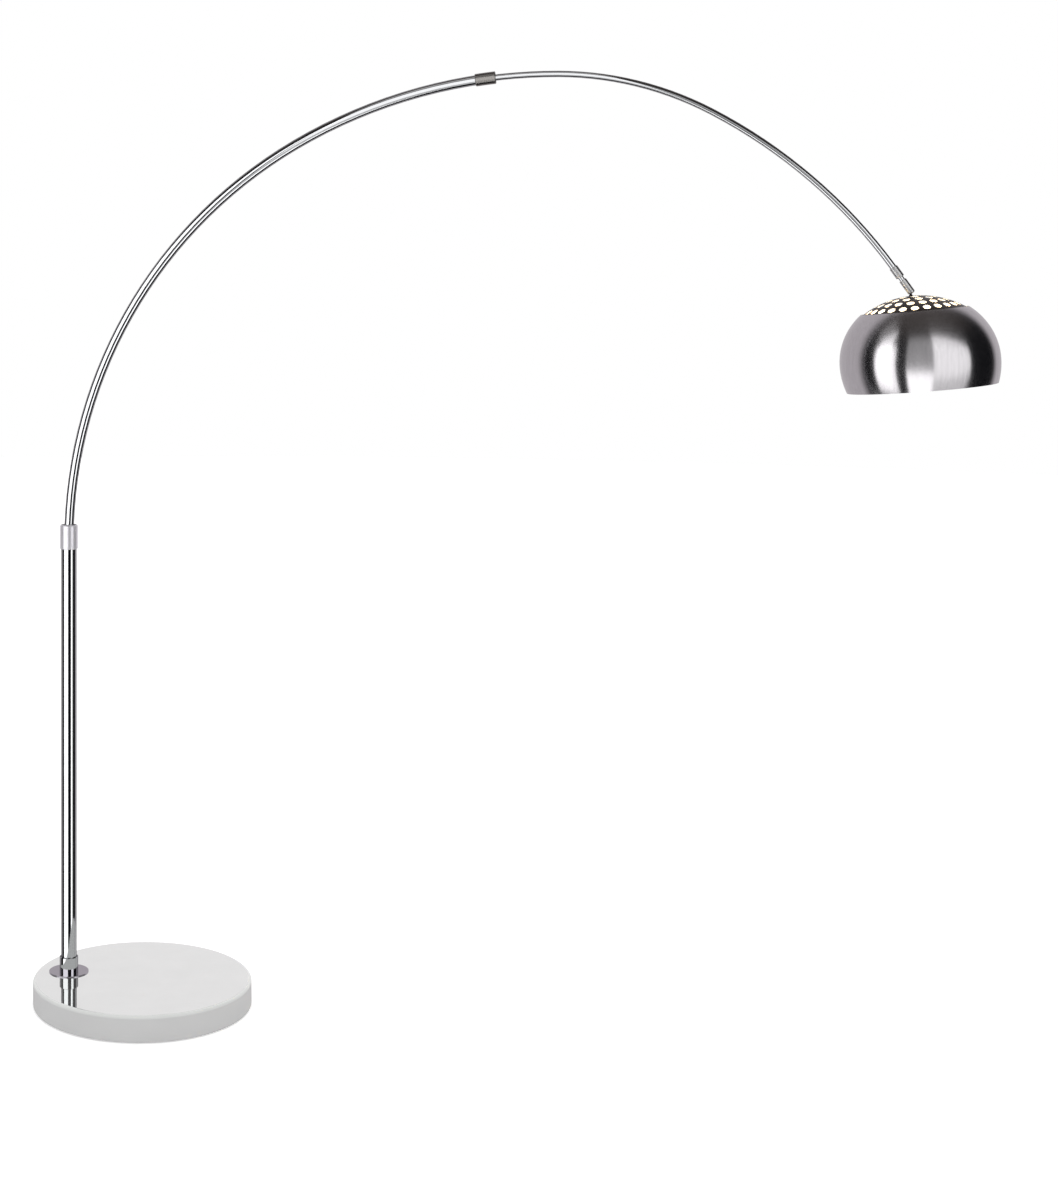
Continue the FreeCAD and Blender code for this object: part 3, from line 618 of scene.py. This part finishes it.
@dataclass
class Studio:
    """White ground, a dark room and soft lights whose edges the chrome mirrors.

    The camera sees plain white. A mirror sees a pale wall behind the lamp, a dark room on its other
    sides and a warm grey ceiling. Matt surfaces are lit evenly from all round.
    """

    camera_place: tuple[float, float, float] = (0.9762, -3.9473, 1.4527)
    camera_turn: float = 12.05
    lens: float = 59.105
    shift: tuple[float, float] = (0.26934, -0.25104)
    wall_way: tuple[float, float, float] = (-0.215, 0.977, 0.0)
    wall_edge: tuple[float, float] = (0.28, 0.5)
    ceiling_edge: tuple[float, float] = (0.55, 0.95)
    floor_r: float = 14.0
    floor_sides: int = 96

    def world(self) -> None:
        """Room seen by mirrors and by matt surfaces; the camera sees white."""
        world = bpy.data.worlds.new("studio")
        bpy.context.scene.world = world
        world.use_nodes = True
        tree = world.node_tree
        tree.nodes.clear()
        ray = add_node(tree, "ShaderNodeLightPath")
        split = add_node(tree, "ShaderNodeSeparateXYZ", {
            0: add_node(tree, "ShaderNodeTexCoord").outputs["Generated"]})
        facing = add_node(tree, "ShaderNodeVectorMath", {
            0: add_node(tree, "ShaderNodeTexCoord").outputs["Generated"], 1: self.wall_way},
            operation="DOT_PRODUCT")
        wall = add_node(tree, "ShaderNodeMapRange", {
            "Value": facing.outputs["Value"],
            "From Min": self.wall_edge[0], "From Max": self.wall_edge[1]})
        ceiling = add_node(tree, "ShaderNodeMapRange", {
            "Value": split.outputs["Z"],
            "From Min": self.ceiling_edge[0], "From Max": self.ceiling_edge[1]})
        room = add_node(tree, "ShaderNodeMix", {
            0: ceiling.outputs[0], 6: linear("#090A0E"), 7: linear("#45403D")}, data_type="RGBA")
        mirror = add_node(tree, "ShaderNodeMix", {
            0: wall.outputs[0], 6: room.outputs[2], 7: linear("#C9C5C8")}, data_type="RGBA")
        soft = add_node(tree, "ShaderNodeMix", {
            0: ray.outputs["Is Glossy Ray"], 6: linear("#FFFFFF"), 7: mirror.outputs[2]}, data_type="RGBA")
        seen = add_node(tree, "ShaderNodeMix", {
            0: ray.outputs["Is Camera Ray"], 6: soft.outputs[2], 7: linear("#FFFFFF")}, data_type="RGBA")
        sky = add_node(tree, "ShaderNodeBackground", {"Color": seen.outputs[2], "Strength": 1.0})
        add_node(tree, "ShaderNodeOutputWorld", {"Surface": sky.outputs[0]})

    def floor(self) -> None:
        """Pale round floor with a faint glow that hides its far edge. Mirrors don't see it."""
        sides = self.floor_sides
        turn = np.linspace(0, 2 * math.pi, sides, endpoint=False)
        ring = np.stack([np.cos(turn), np.sin(turn), np.zeros(sides)], axis=1) * self.floor_r
        points = np.concatenate([ring, [[0.0, 0.0, 0.0]]])
        step = np.arange(sides)
        faces = np.stack([step, (step + 1) % sides, np.full(sides, sides)], axis=1)
        material, _, shader = new_material("pale_floor")
        set_shader(shader, {"Base Color": linear("#FCFCFC"), "Roughness": 0.9, "Specular IOR Level": 0.0,
                            "Emission Color": linear("#FFFFFF"), "Emission Strength": 0.3})
        piece = new_piece("floor", points, faces, [material])
        piece.visible_glossy = False

    def camera(self) -> None:
        """Level camera, shifted down and sideways, about as high as the top of the perforated cap."""
        data = bpy.data.cameras.new("camera")
        data.sensor_width = 36.0
        data.lens = self.lens
        data.shift_x, data.shift_y = self.shift
        holder = bpy.data.objects.new("camera", data)
        holder.location = self.camera_place
        holder.rotation_euler = (math.radians(90), 0, math.radians(self.camera_turn))
        bpy.context.collection.objects.link(holder)
        bpy.context.scene.camera = holder

    def build(self) -> None:
        """Set up floor, room, lights and camera."""
        self.floor()
        self.world()
        for card in CARDS:
            card.build()
        self.camera()
        bpy.context.scene.view_settings.view_transform = "Standard"


def dress(finish: bpy.types.Material, *nodes: str) -> None:
    """Give CAD nodes a finish."""
    for name in nodes:
        node = frame["nodes"][name]
        for slot in node.material_slots:
            slot.material = finish
        LOG.info("dressed %s in %s", name, finish.name)


def main() -> None:
    """Dress the lamp, build its shell and set the studio."""
    logging.basicConfig(level=logging.INFO, format="%(message)s")
    joints = {j["name"]: j for j in frame["record"]["behaviour"]["joints"]}
    ball = tuple(joints["dome_tilt"]["pos_m"])
    arm_axis = tuple(joints["barrel_turn"]["axis"])
    up = (0.0, 0.0, 1.0)
    dome_axis = tuple(lean_basis(Dome.lean)[0].tolist())

    chrome = ChromePlate("chrome_plated_steel").build()
    dress(chrome, "pole_tube", "pole_socket", "lower_arc_tube", "upper_arc_tube", "neck_spigot")
    dress(ChromePlate("chrome_plated_flange", colour="#BDB9C1", edge="#FFFFFF", roughness=0.1).build(),
          "pole_flange")
    # One turned finish in three tones set by how each part is lit: the upright collar's pale grey is painted
    # light, the level collar's dark grey painted shade, the arm end's mid grey between.
    dress(TurnedSteel("satin_turned_aluminium_upright_painted_light", "#E9E7ED", up, roughness=0.42,
                      metallic=0.7).build(), "pole_collar")
    dress(TurnedSteel("satin_turned_steel_level_painted_shade", "#8E8B88", (0.993, 0.0, 0.115), roughness=0.3).build(),
          "arc_collar")
    dress(TurnedSteel("satin_turned_steel_arm_end", "#BDBDBE", arm_axis, roughness=0.34).build(),
          "arm_end_ferrule", "swivel_barrel")
    top_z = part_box("base_disc")[1].z
    dress(PolishedStone("lapped_white_stone", top_z).build(), "base_disc")
    dress(EnamelledCap("enamelled_bronze_cap_painted_glow", ball, 163.0 * MM, 1.0 * MM).build(), "vent_cap")
    dress(OpalGlow("lit_opal_glass").build(), "bulb_globe")
    dress(SmallPart("blackened_steel", "#26241F", 0.9, 0.35, 1.5).build(),
          "head_stem", "stem_nut", "pole_collar_screw", "arc_collar_screw")
    dress(SmallPart("zinc_plated_steel", "#A9ACB0", 1.0, 0.35, 2.0).build(),
          "base_cover", "pole_stud", "base_washer", "base_nut", "pole_foot_plug", "tail_snap_rings",
          "tilt_pin", "cap_washer", "cap_nut", "bulb_screw_cap")
    dress(SmallPart("turned_brass", "#C9A25A", 1.0, 0.3, 1.2).build(), "lampholder_contact", "spigot_nut")
    dress(SmallPart("moulded_black_phenolic", "#141312", 0.0, 0.42, 0.8).build(), "terminal_block")
    # The lampholder's cap and shell carry a painted glow standing for the bulb's light falling on them.
    dress(SmallPart("moulded_white_urea_painted_glow", "#FFF4DE", 0.0, 0.42, 0.8, glow=0.75).build(),
          "lampholder_cap", "lampholder_shell")
    dress(SmallPart("bisque_ceramic", "#E6E0D4", 0.0, 0.6, 1.0).build(), "lampholder_core")
    dress(SmallPart("machined_nylon", "#E4E1D8", 0.0, 0.5, 1.0).build(),
          "pole_guide_bush", "mast_guide", "arc_guide_bush", "arc_tail_guide")
    dress(SmallPart("moulded_rubber", "#1C1B1B", 0.0, 0.7, 0.7).build(), "cord_gland", "dome_rest_ring")
    dress(SmallPart("pressed_felt", "#2A2A2C", 0.0, 0.95, 1.4, bump=0.6, drift=0.35).build(), "base_pad")
    dress(SmallPart("wire_sheath", "#17171A", 0.0, 0.45, 1.0).build(),
          "pole_wire", "lower_arc_wire", "upper_arc_wire")

    shell = Dome(ball).build({
        Side.OUTSIDE: SpunSteel("spun_polished_steel", dome_axis, ball).build(),
        Side.INSIDE: Enamel("white_enamel").build()})
    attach(shell, "dome")
    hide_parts("dome_shade")
    LOG.info("built %s", shell.name)
    Studio().build()


if __name__ == "__main__":
    main()
